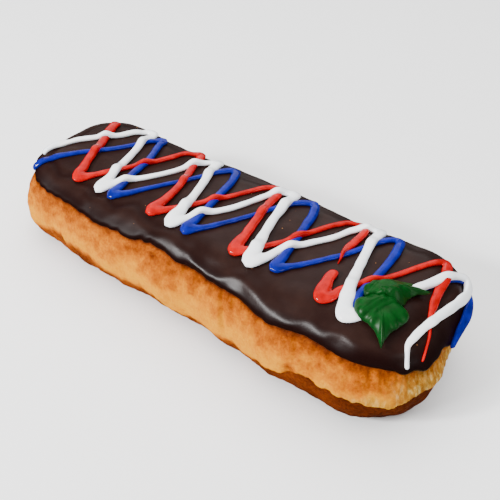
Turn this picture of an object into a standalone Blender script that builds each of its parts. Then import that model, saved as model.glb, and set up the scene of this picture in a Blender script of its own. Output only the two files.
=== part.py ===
"""A long john doughnut: a fried bar of dough, chocolate icing with three piped zigzags fused to it, and two piped leaves.

The bar lies along X and rests on its flat foot at z = 0. Everything on top is laid out flat first, as on a blanket
whose middle is the bar's flat top. The blanket is then draped over the bar: past the edge of the flat top, a distance
on the blanket is the same distance down the bar's rounded side.
"""

import math

import bmesh
import bpy
import numpy as np

MM = 0.001

# The bar of dough, measured at its widest, a third of the way up
LENGTH = 170.0 * MM
WIDTH = 59.4 * MM
CORNER_RADIUS = 21.0 * MM
GIRTH_HEIGHT = 12.2 * MM
DOUGH_HEIGHT = 29.2 * MM
SHOULDER_REACH = 14.5 * MM
SHOULDER_POWER = 2.15
FOOT_INSET = 9.5 * MM
FOOT_POWER = 2.25
CROWN = 1.8 * MM
END_RISE = 1.4 * MM
END_BULGE = 1.0 * MM

# How the dough swells by hand along its length: size, length of one swell, phase. It sinks where it swells out
SWELLS = (
    (0.75 * MM, 78.0 * MM, -0.75),
    (0.32 * MM, 41.0 * MM, 2.45),
    (0.15 * MM, 22.0 * MM, 3.8),
)

# The icing: it runs further down at the right end, and its edge wavers
FIT_GAP = 0.3 * MM
ICING_THICKNESS = 1.6 * MM
ICING_LIP = 1.1 * MM
ICING_DROP = 10.6 * MM
ICING_RUN = 5.0 * MM
ICING_EDGE_WAVES = ((0.45 * MM, 9, 0.4), (0.35 * MM, 17, 1.9), (0.3 * MM, 29, 3.0))
ICING_TOP = FIT_GAP + ICING_THICKNESS

# The piped lines: turns on the blanket in millimetres, with the bead's half width there
LINE_HEIGHT = 1.5
BLUE_LINE = (
    (-76, -22, 1.2), (-69, -17, 1.3), (-63, -7, 1.2), (-56, 2, 1.3), (-43.5, 18.2, 1.4), (-35, -16, 2.1),
    (-8.3, 18.8, 1.4), (-2, -16.2, 2.1), (25.4, 19.4, 1.4), (32.4, -13.8, 2.1), (57.6, 20, 1.4), (60, -15, 2.0),
    (74, 6.5, 1.2), (80.6, 18.5, 1.3), (83.2, 10, 1.2), (84.8, 4.5, 1.2), (86.6, 0.8, 1.3),
)
RED_LINE = (
    (-69.4, 17.5, 1.5), (-52.4, -17, 2.1), (-25.7, 20.3, 1.4), (-17.2, -16.6, 2.1), (10, 18.2, 1.4),
    (18.6, -15.8, 2.1), (42, 21.6, 1.4), (50.5, 18, 1.6), (45.4, 4, 1.5), (47, -2.4, 0.8),
)
RED_LINE_AFTER_BREAK = (
    (46.8, -4.6, 1.0), (46.6, -13.4, 1.8), (49.6, -16.4, 2.1), (53.4, -11.6, 1.3), (72, 19.6, 1.4),
    (77.6, 3.6, 1.3), (80.4, -8.4, 1.2), (82.4, -13.4, 1.0),
)
WHITE_LINE = (
    (-73, -13.5, 1.7), (-70, -1, 1.6), (-62.5, 6.5, 1.5), (-58.8, 15.5, 1.6), (-51.8, 20, 1.6),
    (-41.6, -17, 2.5), (-16.3, 19.4, 1.6), (-9, -17.8, 2.5), (16.3, 20.2, 1.6), (24.4, -17, 2.5),
    (50.2, 20.8, 1.6), (58, -19.6, 2.4), (71.8, 6.2, 1.6), (75.6, 16, 1.6), (79.8, 19.5, 1.7), (80, 8, 1.6),
    (79.6, -0.4, 1.6), (79.4, -8.8, 1.7), (78.6, -17.5, 1.7), (80.2, -20, 1.9),
)
LINES = (
    ("blue_line", BLUE_LINE, 0.0),
    ("red_line", RED_LINE, 0.3),
    ("red_line_after_break", RED_LINE_AFTER_BREAK, 0.3),
    ("white_line", WHITE_LINE, 0.6),
)
BEAD_DEPTH = 0.6
BEAD_SIDES = 6
TURN_REACH = 3.2
LEG_STEP = 6.0

# The leaves: base and tip on the blanket, half widths to the left and right of the rib
LEAF_CLEARANCE = 0.4 * MM
LEAF_THICKNESS = 1.7
LEAF_EDGE = 0.8
LEAF_SHAPE_AT = (0.0, 0.12, 0.3, 0.5, 0.75, 0.92, 1.0)
LEAF_SHAPE = (0.45, 0.8, 1.0, 0.9, 0.5, 0.2, 0.08)
LEAVES = (
    ("leaf_front", (66.6, -9.6), (70.8, -20.8), 6.8, 7.2, 0.5),
    ("leaf_back", (60.0, -9.0), (76.4, 3.2), 3.6, 4.0, 1.1),
)

PROFILE_STEPS = 48


def clear_scene():
    for thing in list(bpy.data.objects):
        bpy.data.objects.remove(thing)


def finish(name, colour, roughness):
    """A material for one sub-part."""
    material = bpy.data.materials.new(name)
    material.use_nodes = True
    shader = material.node_tree.nodes["Principled BSDF"]
    shader.inputs["Base Color"].default_value = (*colour, 1.0)
    shader.inputs["Roughness"].default_value = roughness
    shader.inputs["Metallic"].default_value = 0.0
    return material


def side_profile():
    """The bar's side from the edge of its flat top down to its foot.

    Rows are the distance down the side, the reach outwards, the height, and the two parts of the outward normal.
    """
    angles = np.linspace(0, math.pi / 2, PROFILE_STEPS)
    share = 2 / SHOULDER_POWER
    reach = SHOULDER_REACH * np.sin(angles) ** share
    height = GIRTH_HEIGHT + (DOUGH_HEIGHT - GIRTH_HEIGHT) * np.cos(angles) ** share
    share = 2 / FOOT_POWER
    reach = np.append(reach, SHOULDER_REACH - FOOT_INSET * (1 - np.cos(angles[1:]) ** share))
    height = np.append(height, GIRTH_HEIGHT * (1 - np.sin(angles[1:]) ** share))
    steps = np.hypot(np.diff(reach), np.diff(height))
    down = np.append(0, np.cumsum(steps))
    out_part = -np.gradient(height, down)
    up_part = np.gradient(reach, down)
    size = np.hypot(out_part, up_part)
    out_part, up_part = out_part / size, up_part / size
    out_part[0], up_part[0] = 0, 1
    return down, reach, height, out_part, up_part


PROFILE = side_profile()
SIDE_LENGTH = PROFILE[0][-1]
FLAT_RADIUS = CORNER_RADIUS - SHOULDER_REACH
CORE = np.array([LENGTH / 2 - CORNER_RADIUS, WIDTH / 2 - CORNER_RADIUS])


def drape(plan, lift):
    """Points of the blanket laid on the bar, each held lift above the dough."""
    nearest = np.clip(plan, -CORE, CORE)
    away = plan - nearest
    distance = np.linalg.norm(away, axis=1)
    outward = away / np.maximum(distance, 1e-9)[:, None]
    past = distance - FLAT_RADIUS
    down, reach, height, out_part, up_part = PROFILE
    reach_here = np.where(past < 0, past, np.interp(past, down, reach))
    reach_here = reach_here + lift * np.interp(past, down, out_part)
    level = nearest + outward * (FLAT_RADIUS + reach_here)[:, None]
    high = np.interp(past, down, height) + lift * np.interp(past, down, up_part)
    return np.column_stack([level, high])


def swell(points):
    """The bar as it came out of the fryer: crowned along its middle and uneven along its length."""
    x, y, z = points.T
    rise = np.clip(z / DOUGH_HEIGHT, 0, 1) ** 2
    across = np.clip(np.abs(y) / (WIDTH / 2), 0, 1)
    side = np.tanh(y / (WIDTH / 4))
    moved = points.copy()
    moved[:, 2] += (CROWN * (1 - across**2) + END_RISE * x / LENGTH) * rise
    moved[:, 0] += END_BULGE * np.clip(2 * x / LENGTH, 0, 1) ** 6
    for size, wave, phase in SWELLS:
        turn = 2 * math.pi * x / wave + phase
        moved[:, 2] -= 0.6 * size * rise * np.sin(turn)
        moved[:, 1] += size * side * np.sin(turn + 1.3 * side)
    return moved


def rim(direction, grown):
    """A point of the bar's outline, grown past the flat top, for a direction on the edge of the unit square."""
    radius = FLAT_RADIUS + grown
    box = direction * (CORE + radius[:, None])
    nearest = np.clip(box, -CORE, CORE)
    away = box - nearest
    distance = np.linalg.norm(away, axis=1)
    outward = away / np.maximum(distance, 1e-9)[:, None]
    return nearest + outward * radius[:, None]


def gridded_box(cuts):
    """A cube from -1 to 1 in even strips, with the squares of its top and underside cut in two alike."""
    bm = bmesh.new()
    bmesh.ops.create_cube(bm, size=2)
    for axis, count in enumerate(cuts):
        if count:
            along = [e for e in bm.edges if abs(e.verts[0].co[axis] - e.verts[1].co[axis]) > 1e-4]
            bmesh.ops.subdivide_edges(bm, edges=along, cuts=count, use_grid_fill=True)
    for face in [f for f in bm.faces if abs(f.normal.z) > 0.9]:
        corners = sorted(face.verts, key=lambda v: abs(v.co.x) + abs(v.co.y))
        bmesh.utils.face_split(face, corners[0], corners[-1])
    return bm


def shaped(bm, name, mapping, material, origin=(0, 0, 0)):
    """An object placed at its origin, whose points are the box's points after a mapping."""
    before = np.array([v.co for v in bm.verts])
    for vertex, place in zip(bm.verts, mapping(before) - origin):
        vertex.co = place
    bmesh.ops.recalc_face_normals(bm, faces=bm.faces)
    mesh = bpy.data.meshes.new(name)
    bm.to_mesh(mesh)
    bm.free()
    mesh.shade_smooth()
    mesh.materials.append(material)
    thing = bpy.data.objects.new(name, mesh)
    thing.location = origin
    bpy.context.scene.collection.objects.link(thing)
    return thing


def rest_on(thing, base):
    """The thing belongs to its base, and stays where it is."""
    bpy.context.view_layer.update()
    thing.parent = base
    thing.matrix_parent_inverse = base.matrix_world.inverted()


def ring_and_direction(flat):
    """How far out on the unit square each point lies, and the point of the square's edge beyond it."""
    ring = np.abs(flat).max(axis=1)
    return ring, flat / np.maximum(ring, 1e-9)[:, None]


def icing_edge(direction):
    """How far down the side the icing runs, all round the bar."""
    turn = np.arctan2(direction[:, 1], direction[:, 0])
    down = ICING_DROP + ICING_RUN * np.clip(np.cos(turn), 0, 1) ** 2
    for size, count, phase in ICING_EDGE_WAVES:
        down += size * np.sin(count * turn + phase)
    return down


def blanket(flat, flat_share=0.5):
    """Points of the unit square laid on the blanket, from the middle out to the icing's edge."""
    ring, direction = ring_and_direction(flat)
    inner = rim(direction, np.zeros(len(ring))) * (ring / flat_share)[:, None]
    share = np.clip((ring - flat_share) / (1 - flat_share), 0, 1)
    outer = rim(direction, icing_edge(direction) * share)
    return np.where((ring < flat_share)[:, None], inner, outer), ring, direction


def dough_points(box):
    """The box wrapped to the bar: its top lies under the icing, its sides run on down to the flat foot."""
    plan, ring, direction = blanket(box[:, :2])
    depth = (1 - box[:, 2]) / 2
    edge = icing_edge(direction)
    side = rim(direction, edge + (SIDE_LENGTH - edge) * depth)
    plan = np.where((ring > 1 - 1e-6)[:, None], side, plan)
    points = drape(plan, np.zeros(len(plan)))
    foot = box[:, 2] < -1 + 1e-6
    points[foot] = points[foot] * [1, 1, 0]
    return swell(points)


def icing_points(box):
    """The box flattened to a skin: its top is the outer face, its underside lies just clear of the dough."""
    plan, ring, _ = blanket(box[:, :2])
    near_edge = np.clip((ring - 0.88) / 0.12, 0, 1)
    thickness = ICING_LIP + (ICING_THICKNESS - ICING_LIP) * np.sqrt(1 - near_edge**2)
    return swell(drape(plan, FIT_GAP + thickness * (box[:, 2] + 1) / 2))


def stations(turns):
    """Points along a piped line: few on its straight legs, more round its turns."""
    spots = np.array(turns, dtype=float)
    path = [spots[0]]
    for before, here, after in zip(spots[:-2], spots[1:-1], spots[2:]):
        back = before - here
        ahead = after - here
        back_size, ahead_size = np.hypot(*back[:2]), np.hypot(*ahead[:2])
        reach = min(TURN_REACH, back_size / 3, ahead_size / 3)
        enter = here + back * reach / back_size
        leave = here + ahead * reach / ahead_size
        count = int(np.hypot(*(enter - path[-1])[:2]) / LEG_STEP)
        thinner = np.array([1, 1, 0.8])
        for step in range(1, count + 1):
            path.append((path[-1] * (count + 1 - step) + enter) / (count + 2 - step) * thinner)
            thinner = np.array([1, 1, 1])
        bend = (enter + leave) / 2
        path += [enter, here * 0.55 + enter * 0.35 + bend * 0.1, here * 0.75 + bend * 0.25]
        path += [here * 0.55 + leave * 0.35 + bend * 0.1, leave]
    path.append(spots[-1])
    return np.array(path)


def bead(name, turns, lift, material):
    """One piped line, as a six-sided bead that follows the blanket."""
    path = stations(turns)
    path[:, 2] *= np.where(np.arange(len(path)) % (len(path) - 1) == 0, 0.6, 1)
    forward = np.gradient(path[:, :2], axis=0)
    forward /= np.linalg.norm(forward, axis=1)[:, None]
    bm = bmesh.new()
    bmesh.ops.create_cone(bm, cap_ends=True, segments=BEAD_SIDES, radius1=1, radius2=1, depth=2)
    long_edges = [e for e in bm.edges if abs(e.verts[0].co.z - e.verts[1].co.z) > 1]
    bmesh.ops.subdivide_edges(bm, edges=long_edges, cuts=len(path) - 2)

    def along_line(box):
        place = np.rint((box[:, 2] + 1) / 2 * (len(path) - 1)).astype(int)
        middle, ahead = path[place], forward[place]
        sideways = np.column_stack([-ahead[:, 1], ahead[:, 0]])
        plan = (middle[:, :2] + sideways * (box[:, 0] * middle[:, 2])[:, None]) * MM
        height = np.where(box[:, 1] > 0, LINE_HEIGHT + lift, BEAD_DEPTH) * box[:, 1]
        return swell(drape(plan, ICING_TOP + height * MM))

    return shaped(bm, name, along_line, material)


def line_tops(plan):
    """How high the piped lines stand over points of the blanket, with their flanks let out for safety."""
    top = np.zeros(len(plan))
    for _, turns, lift in LINES:
        path = stations(turns)
        for start, end in zip(path[:-1], path[1:]):
            span = end[:2] - start[:2]
            share = np.clip((plan / MM - start[:2]) @ span / (span @ span), 0, 1)
            near = start[:2] + share[:, None] * span
            wide = start[2] + share * (end[2] - start[2])
            distance = np.linalg.norm(plan / MM - near, axis=1)
            flank = np.clip((wide + 2.2 - distance) / 1.4, 0, 1)
            top = np.maximum(top, flank * (LINE_HEIGHT + lift + 0.15))
    return top * MM


def leaf(name, base, tip, left, right, ruffle, material):
    """A piped leaf: a thin wavy solid with a rib, resting over the lines and drooping to the icing at its tip."""
    base, tip = np.array(base) * MM, np.array(tip) * MM
    rib = tip - base
    sideways = np.array([-rib[1], rib[0]]) / np.linalg.norm(rib)
    def over_lines(box):
        along = (box[:, 0] + 1) / 2
        across = box[:, 1]
        half = np.where(across > 0, left, right) * np.interp(along, LEAF_SHAPE_AT, LEAF_SHAPE) * MM
        plan = base + along[:, None] * rib + (across * half)[:, None] * sideways
        thick = LEAF_EDGE + (LEAF_THICKNESS - LEAF_EDGE) * (1 - across**2) * (1 - along**3)
        waves = ruffle * np.abs(across) * (1 + np.sin(5.2 * math.pi * along + 0.8 * np.sign(across)))
        crease = 0.5 * (1 - np.exp(-((across / 0.25) ** 2)))
        under = ICING_TOP + line_tops(plan) + LEAF_CLEARANCE
        lift = under + (waves + (crease + thick) * (box[:, 2] > 0)) * MM
        return swell(drape(plan, lift))

    stalk = swell(drape(base[None], np.array([ICING_TOP])))[0]
    return shaped(gridded_box((9, 9, 0)), name, over_lines, material, stalk)


def fuse(thing, others):
    """One solid out of a thing and everything that touches it."""
    group = bpy.data.collections.new("fused")
    bpy.context.scene.collection.children.link(group)
    for other in others:
        bpy.context.scene.collection.objects.unlink(other)
        group.objects.link(other)
    union = thing.modifiers.new("fuse", "BOOLEAN")
    union.operation = "UNION"
    union.solver = "EXACT"
    union.operand_type = "COLLECTION"
    union.collection = group
    union.use_self = True
    bpy.context.view_layer.objects.active = thing
    bpy.ops.object.modifier_apply(modifier=union.name)
    for other in others:
        bpy.data.objects.remove(other)
    thing.data.shade_smooth()


def main():
    clear_scene()
    dough_finish = finish("fried_dough", (0.62, 0.28, 0.07), 0.6)
    icing_finish = finish("chocolate_icing", (0.03, 0.016, 0.012), 0.3)
    bar = gridded_box((35, 13, 6))
    bmesh.ops.dissolve_faces(bar, faces=[face for face in bar.faces if face.normal.z < -0.9])
    dough = shaped(bar, "dough", dough_points, dough_finish)
    icing = shaped(gridded_box((35, 13, 0)), "icing", icing_points, icing_finish, (0, 0, DOUGH_HEIGHT))
    lines = [bead(name, turns, lift, icing_finish) for name, turns, lift in LINES]
    fuse(icing, lines)
    rest_on(icing, dough)
    for name, base, tip, left, right, ruffle in LEAVES:
        green = finish(f"green_{name}", (0.005, 0.1, 0.01), 0.3)
        rest_on(leaf(name, base, tip, left, right, ruffle, green), icing)


main()
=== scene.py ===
"""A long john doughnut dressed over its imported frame.

It has a fried crust, chocolate icing, three piped zigzags, two piped leaves and stray crumbs. Everything on
top of the bar is laid out flat first, as on a blanket whose middle is the bar's flat top. The blanket is then
draped over the bar, so that a distance past the edge of the flat top runs down the rounded side.
"""

from __future__ import annotations

import logging
import math
from dataclasses import dataclass
from enum import Enum
from functools import cached_property

import bmesh
import bpy
import numpy as np
from mathutils import Matrix, Vector


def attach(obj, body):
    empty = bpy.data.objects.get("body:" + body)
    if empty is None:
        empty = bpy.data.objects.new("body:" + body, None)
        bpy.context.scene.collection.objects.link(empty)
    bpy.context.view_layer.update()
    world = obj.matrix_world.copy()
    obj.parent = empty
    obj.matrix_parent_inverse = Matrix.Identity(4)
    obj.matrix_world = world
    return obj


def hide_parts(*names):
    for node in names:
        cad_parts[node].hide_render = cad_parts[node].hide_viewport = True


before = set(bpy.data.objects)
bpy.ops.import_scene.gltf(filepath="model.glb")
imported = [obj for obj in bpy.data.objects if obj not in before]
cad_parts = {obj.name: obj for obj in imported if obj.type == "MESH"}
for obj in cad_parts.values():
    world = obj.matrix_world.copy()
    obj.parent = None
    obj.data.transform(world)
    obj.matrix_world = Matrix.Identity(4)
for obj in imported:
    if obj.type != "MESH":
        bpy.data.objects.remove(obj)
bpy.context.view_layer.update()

MM = 0.001
TINY = 1e-9
Pairs = tuple[tuple[float, float], ...]
Triples = tuple[tuple[float, float, float], ...]
Stops = tuple[tuple[float, str], ...]
Socket = bpy.types.NodeSocket
Array = np.ndarray
Shape = bmesh.types.BMesh
ROWS_AT_ONCE = 4000
LOG = logging.getLogger("long_john")


def uneven(points: Array, wavelength: float, seed: int, waves: int = 28) -> Array:
    """Smooth random relief, about -1 to 1, as a sum of plane waves with seeded directions.

    Args:
        points: rows of coordinates in metres.
        wavelength: the typical distance from one bump to the next, in metres.
        seed: picks the pattern.
        waves: how many plane waves are summed.

    Returns:
        One value for each row.
    """
    draw = np.random.default_rng(seed)
    direction = draw.normal(size=(waves, points.shape[1]))
    direction /= np.linalg.norm(direction, axis=1)[:, None]
    pace = 2 * math.pi / wavelength * draw.uniform(0.7, 1.4, waves)
    phase = draw.uniform(0, 2 * math.pi, waves)
    return np.cos(points @ (direction * pace[:, None]).T + phase).sum(axis=1) / math.sqrt(waves)


def layered(points: Array, *layers: tuple[float, float, int]) -> Array:
    """A sum of uneven reliefs, each given by its height, its wavelength in millimetres and its seed."""
    return sum(height * uneven(points, wavelength * MM, seed) for height, wavelength, seed in layers)


def travelled(line: Array) -> Array:
    """How far along a path each of its points lies, measured on the blanket."""
    return np.append(0, np.cumsum(np.linalg.norm(np.diff(line[:, :2], axis=0), axis=1)))


def step(value: Array, low: float, high: float) -> Array:
    """A smooth rise from 0 at low to 1 at high.

    Args:
        value: the numbers to place.
        low: where the rise starts.
        high: where it ends.

    Returns:
        The share of the rise at each number.
    """
    share = np.clip((value - low) / (high - low), 0, 1)
    return share * share * (3 - 2 * share)


def bell(value: Array, middle: float | Array, width: float | Array) -> Array:
    """A smooth hump of height 1 at middle, about twice width across."""
    return np.exp(-(((value - middle) / width) ** 2))


@dataclass(frozen=True)
class BarForm:
    """The bar of dough as shaped by hand and fryer, in metres, and the blanket laid over it."""

    length: float = 170.0 * MM
    width: float = 59.4 * MM
    corner_radius: float = 21.0 * MM
    girth_height: float = 12.2 * MM
    dough_height: float = 29.2 * MM
    shoulder_reach: float = 14.5 * MM
    shoulder_power: float = 2.15
    foot_inset: float = 9.5 * MM
    foot_power: float = 2.25
    crown: float = 1.8 * MM
    end_rise: float = 1.4 * MM
    end_bulge: float = 1.0 * MM
    end_lean: float = 0.5 * MM
    corner_lean: float = 2.9 * MM
    swells: Triples = (
        (0.75 * MM, 78.0 * MM, -0.75),
        (0.32 * MM, 41.0 * MM, 2.45),
        (0.15 * MM, 22.0 * MM, 3.8),
    )
    swell_rise: float = 0.6
    swell_lag: float = 1.3

    @cached_property
    def profile(self) -> tuple[Array, ...]:
        """The side of the bar, drawn from the edge of the flat top to the foot.

        Returns:
            Distance down, reach past the edge, height, and the two parts of the outward normal.
        """
        angles = np.linspace(0, math.pi / 2, 160)
        share = 2 / self.shoulder_power
        reach = self.shoulder_reach * np.sin(angles) ** share
        height = self.girth_height + (self.dough_height - self.girth_height) * np.cos(angles) ** share
        share = 2 / self.foot_power
        reach = np.append(reach, self.shoulder_reach - self.foot_inset * (1 - np.cos(angles[1:]) ** share))
        height = np.append(height, self.girth_height * (1 - np.sin(angles[1:]) ** share))
        down = np.append(0, np.cumsum(np.hypot(np.diff(reach), np.diff(height))))
        out_part = -np.gradient(height, down)
        up_part = np.gradient(reach, down)
        size = np.hypot(out_part, up_part)
        out_part, up_part = out_part / size, up_part / size
        out_part[0], up_part[0] = 0, 1
        return down, reach, height, out_part, up_part

    @property
    def side_length(self) -> float:
        """How far it is down the side, from the flat top to the foot."""
        return float(self.profile[0][-1])

    @property
    def flat_radius(self) -> float:
        """The corner radius of the flat top."""
        return self.corner_radius - self.shoulder_reach

    @property
    def core(self) -> Array:
        """Half sizes of the rectangle that the rounded outline is drawn round."""
        return np.array([self.length / 2 - self.corner_radius, self.width / 2 - self.corner_radius])

    def from_core(self, plan: Array) -> tuple[Array, Array, Array]:
        """How points of the blanket lie to the core rectangle.

        Args:
            plan: rows of x and y on the blanket.

        Returns:
            The rectangle's nearest points, the directions out from them and the distances.
        """
        nearest = np.clip(plan, -self.core, self.core)
        away = plan - nearest
        distance = np.linalg.norm(away, axis=1)
        return nearest, away / np.maximum(distance, TINY)[:, None], distance

    def past_edge(self, plan: Array) -> Array:
        """How far points of the blanket lie past the edge of the flat top; below 0 on it."""
        return self.from_core(plan)[2] - self.flat_radius

    def drape(self, plan: Array, lift: Array) -> Array:
        """Lay points of the blanket on the bar.

        Args:
            plan: rows of x and y on the blanket.
            lift: how far each point is held off the dough.

        Returns:
            Rows of x, y and z.
        """
        nearest, outward, distance = self.from_core(plan)
        past = distance - self.flat_radius
        down, reach, height, out_part, up_part = self.profile
        reach_here = np.where(past < 0, past, np.interp(past, down, reach))
        reach_here = reach_here + lift * np.interp(past, down, out_part)
        level = nearest + outward * (self.flat_radius + reach_here)[:, None]
        high = np.interp(past, down, height) + lift * np.interp(past, down, up_part)
        return self.swell(np.column_stack([level, high]))

    def swell(self, points: Array) -> Array:
        """Bend an even bar to the one from the fryer: crowned along its middle, uneven along its length.

        Args:
            points: rows of x, y and z on the even bar.

        Returns:
            The rows moved.
        """
        x, y, z = points.T
        rise = np.clip(z / self.dough_height, 0, 1) ** 2
        across = np.clip(np.abs(y) / (self.width / 2), 0, 1)
        side = np.tanh(y / (self.width / 4))
        moved = points.copy()
        moved[:, 2] += (self.crown * (1 - across**2) + self.end_rise * x / self.length) * rise
        moved[:, 0] += self.end_bulge * np.clip(2 * x / self.length, 0, 1) ** 6
        for size, wave, phase in self.swells:
            turn = 2 * math.pi * x / wave + phase
            moved[:, 2] -= self.swell_rise * size * rise * np.sin(turn)
            moved[:, 1] += size * side * np.sin(turn + self.swell_lag * side)
        # The right end, torn from the next bar, leans in below the icing, most at its far corner
        lean = step(x, 60 * MM, 84 * MM) * (1 - step(z, 13 * MM, 24 * MM))
        inward = lean * (self.end_lean + self.corner_lean * step(y, -10 * MM, 8 * MM))
        moved[:, 0] -= 0.8 * inward
        moved[:, 1] -= 0.6 * inward * step(y, -4 * MM, 8 * MM)
        return moved

    def rim(self, direction: Array, grown: Array) -> Array:
        """Points of the bar's outline, grown past the flat top.

        Args:
            direction: rows on the edge of the unit square.
            grown: how far past the flat top each point lies.

        Returns:
            Rows of x and y on the blanket.
        """
        radius = self.flat_radius + grown
        nearest, outward, _ = self.from_core(direction * (self.core + radius[:, None]))
        return nearest + outward * radius[:, None]

    def way_round(self, share: Array) -> tuple[Array, Array]:
        """Walk round the outline at an even pace.

        Args:
            share: from 0 at the middle of the right end, once round, to 1.

        Returns:
            The point of the core rectangle and the outward direction at each share.
        """
        cx, cy = self.core
        arc = self.corner_radius * math.pi / 2
        runs = [cy, arc, 2 * cx, arc, 2 * cy, arc, 2 * cx, arc, cy]
        marks = np.append(0, np.cumsum(runs)) / sum(runs)
        core_x = np.interp(share, marks, [cx, cx, cx, -cx, -cx, -cx, -cx, cx, cx, cx])
        core_y = np.interp(share, marks, [0, cy, cy, cy, cy, -cy, -cy, -cy, -cy, 0])
        quarter = math.pi / 2
        turn = np.interp(share, marks, np.array([0, 0, 1, 1, 2, 2, 3, 3, 4, 4]) * quarter)
        return np.column_stack([core_x, core_y]), np.column_stack([np.cos(turn), np.sin(turn)])


BAR = BarForm()


def srgb(code: str) -> tuple[float, float, float, float]:
    """Turn an sRGB colour linear.

    Args:
        code: six hex digits.

    Returns:
        Linear red, green, blue and alpha.
    """
    parts = [int(code[place : place + 2], 16) / 255 for place in (0, 2, 4)]
    linear = [part / 12.92 if part <= 0.04045 else ((part + 0.055) / 1.055) ** 2.4 for part in parts]
    return (*linear, 1.0)


class Surface:
    """A material as it is put together: a Principled shader and the nodes that feed it."""

    def __init__(self, name: str) -> None:
        """Start a material.

        Args:
            name: the stuff's name.
        """
        self.material = bpy.data.materials.new(name)
        self.material.use_nodes = True
        self.shader = self.material.node_tree.nodes["Principled BSDF"]

    def put(self, node: bpy.types.Node, values: dict[str | int, object]) -> None:
        """Fill in a node.

        Args:
            node: the node.
            values: what its properties and inputs get, by name or number; another node's socket is linked.
        """
        for name, value in values.items():
            if isinstance(value, Socket):
                self.material.node_tree.links.new(value, node.inputs[name])
            elif isinstance(name, str) and hasattr(node, name):
                setattr(node, name, value)
            else:
                node.inputs[name].default_value = value

    def add(self, kind: str, values: dict[str | int, object], output: str | int) -> Socket:
        """Add a node with its settings and links.

        Args:
            kind: the node's type name.
            values: what its properties and inputs get.
            output: the name or number of the wanted output.

        Returns:
            That output.
        """
        node = self.material.node_tree.nodes.new(kind)
        self.put(node, values)
        return node.outputs[output]

    def place(self) -> Socket:
        """Where on the object a point lies, in metres."""
        return self.add("ShaderNodeTexCoord", {}, "Object")

    def attribute(self, name: str) -> Socket:
        """The numbers that the mesh carries under this name."""
        return self.add("ShaderNodeAttribute", {"attribute_name": name}, "Fac")

    def noise(self, place: Socket, size_mm: float, detail: float, roughness: float = 0.5) -> Socket:
        """Noise from 0 to 1, in patches of about this size."""
        values = {"Scale": 1 / (size_mm * MM), "Detail": detail, "Roughness": roughness, "Vector": place}
        return self.add("ShaderNodeTexNoise", values, "Fac")

    def scaled(self, source: Socket, factor: float, plus: float | Socket) -> Socket:
        """A value times a factor, plus a number or another value."""
        values = {"operation": "MULTIPLY_ADD", 0: source, 1: factor, 2: plus}
        return self.add("ShaderNodeMath", values, "Value")

    def between(self, source: Socket, low: float, high: float) -> Socket:
        """A value from 0 to 1, spread from low to high."""
        return self.add("ShaderNodeMapRange", {"Value": source, "To Min": low, "To Max": high}, "Result")

    def bump(self, heights: Socket, strength: float, distance_mm: float) -> Socket:
        """Normals tilted by fine relief."""
        values = {"Strength": strength, "Distance": distance_mm * MM, "Height": heights}
        return self.add("ShaderNodeBump", values, "Normal")

    def mixed(self, share: Socket, first: Socket, second: Socket | tuple[float, ...]) -> Socket:
        """The first colour, and the second where the share is 1."""
        return self.add("ShaderNodeMix", {"data_type": "RGBA", "Factor": share, 6: first, 7: second}, 2)

    def ramp(self, factor: Socket, stops: Stops) -> Socket:
        """A colour ramp.

        Args:
            factor: the value that runs along it.
            stops: places from 0 to 1 with their sRGB colours.

        Returns:
            The colour.
        """
        colour = self.add("ShaderNodeValToRGB", {"Fac": factor}, "Color")
        elements = colour.node.color_ramp.elements
        while len(elements) < len(stops):
            elements.new(0.5)
        for element, (place, code) in zip(elements, stops):
            element.position = place
            element.color = srgb(code)
        return colour

    def finished(self, values: dict[str | int, object]) -> bpy.types.Material:
        """The material, once its shader has these values and links."""
        self.put(self.shader, values)
        return self.material


@dataclass(frozen=True)
class FriedCrust:
    """Yeast dough fried in fat: browned where it met the fat, pale round the middle that floated above it."""

    pore_mm: float = 0.9
    mottle_mm: float = 4.0
    fibre_mm: float = 1.1
    mottling: float = 0.42
    speckling: float = 0.38
    toasting: Stops = (
        (0.0, "CC8B06"), (0.15, "C68000"), (0.3, "B86C00"), (0.45, "9F5200"),
        (0.6, "803A00"), (0.75, "602600"), (0.9, "481900"), (1.0, "300D00"),
    )
    threads: Stops = ((0.3, "6C4210"), (0.45, "8F651E"), (0.55, "A58034"), (0.72, "C6B070"))

    def make(self) -> bpy.types.Material:
        """The crust: matt with a trace of fat, mottled, finely pored, its browning and painted shadow read
        from the mesh.

        Returns:
            The material.
        """
        look = Surface("fried_dough_crust")
        place = look.place()
        # Mottling a few millimetres across, where bubbles under the skin browned more or less
        mottle = look.noise(place, self.mottle_mm, 6.0, 0.72)
        fine = look.noise(place, self.pore_mm, 3.0, 0.6)
        # The mesh's browning value also carries the painted shadow under the icing's lip
        toast = look.scaled(mottle, self.mottling, look.attribute("browning_and_shade"))
        toast = look.scaled(fine, self.speckling, toast)
        toast = look.scaled(toast, 1.0, -0.5 * (self.mottling + self.speckling))
        # The torn side of the right end: moist threads of crumb, paler and darker in turn
        drawn_out = {"Rotation": (0.0, 0.5, 0.0), "Scale": (1.0, 1.0, 0.28), "Vector": place}
        fibres = look.noise(look.add("ShaderNodeMapping", drawn_out, "Vector"), self.fibre_mm, 4.0, 0.55)
        torn = look.ramp(fibres, self.threads)
        pore_values = {"Scale": 1 / (self.pore_mm * MM), "feature": "SMOOTH_F1", "Vector": place}
        pores = look.add("ShaderNodeTexVoronoi", pore_values, "Distance")
        heights = look.scaled(fine, 1.0, look.scaled(pores, 0.5, mottle))
        return look.finished({
            "Base Color": look.mixed(look.attribute("fibrous"), look.ramp(toast, self.toasting), torn),
            "Roughness": look.between(fine, 0.42, 0.68),
            "IOR": 1.45,
            "Specular IOR Level": 0.04,
            "Subsurface Weight": 0.12,
            "Subsurface Radius": (0.004, 0.0018, 0.0008),
            "Subsurface Scale": 0.6,
            "Normal": look.bump(heights, 0.6, 0.34),
        })


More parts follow.
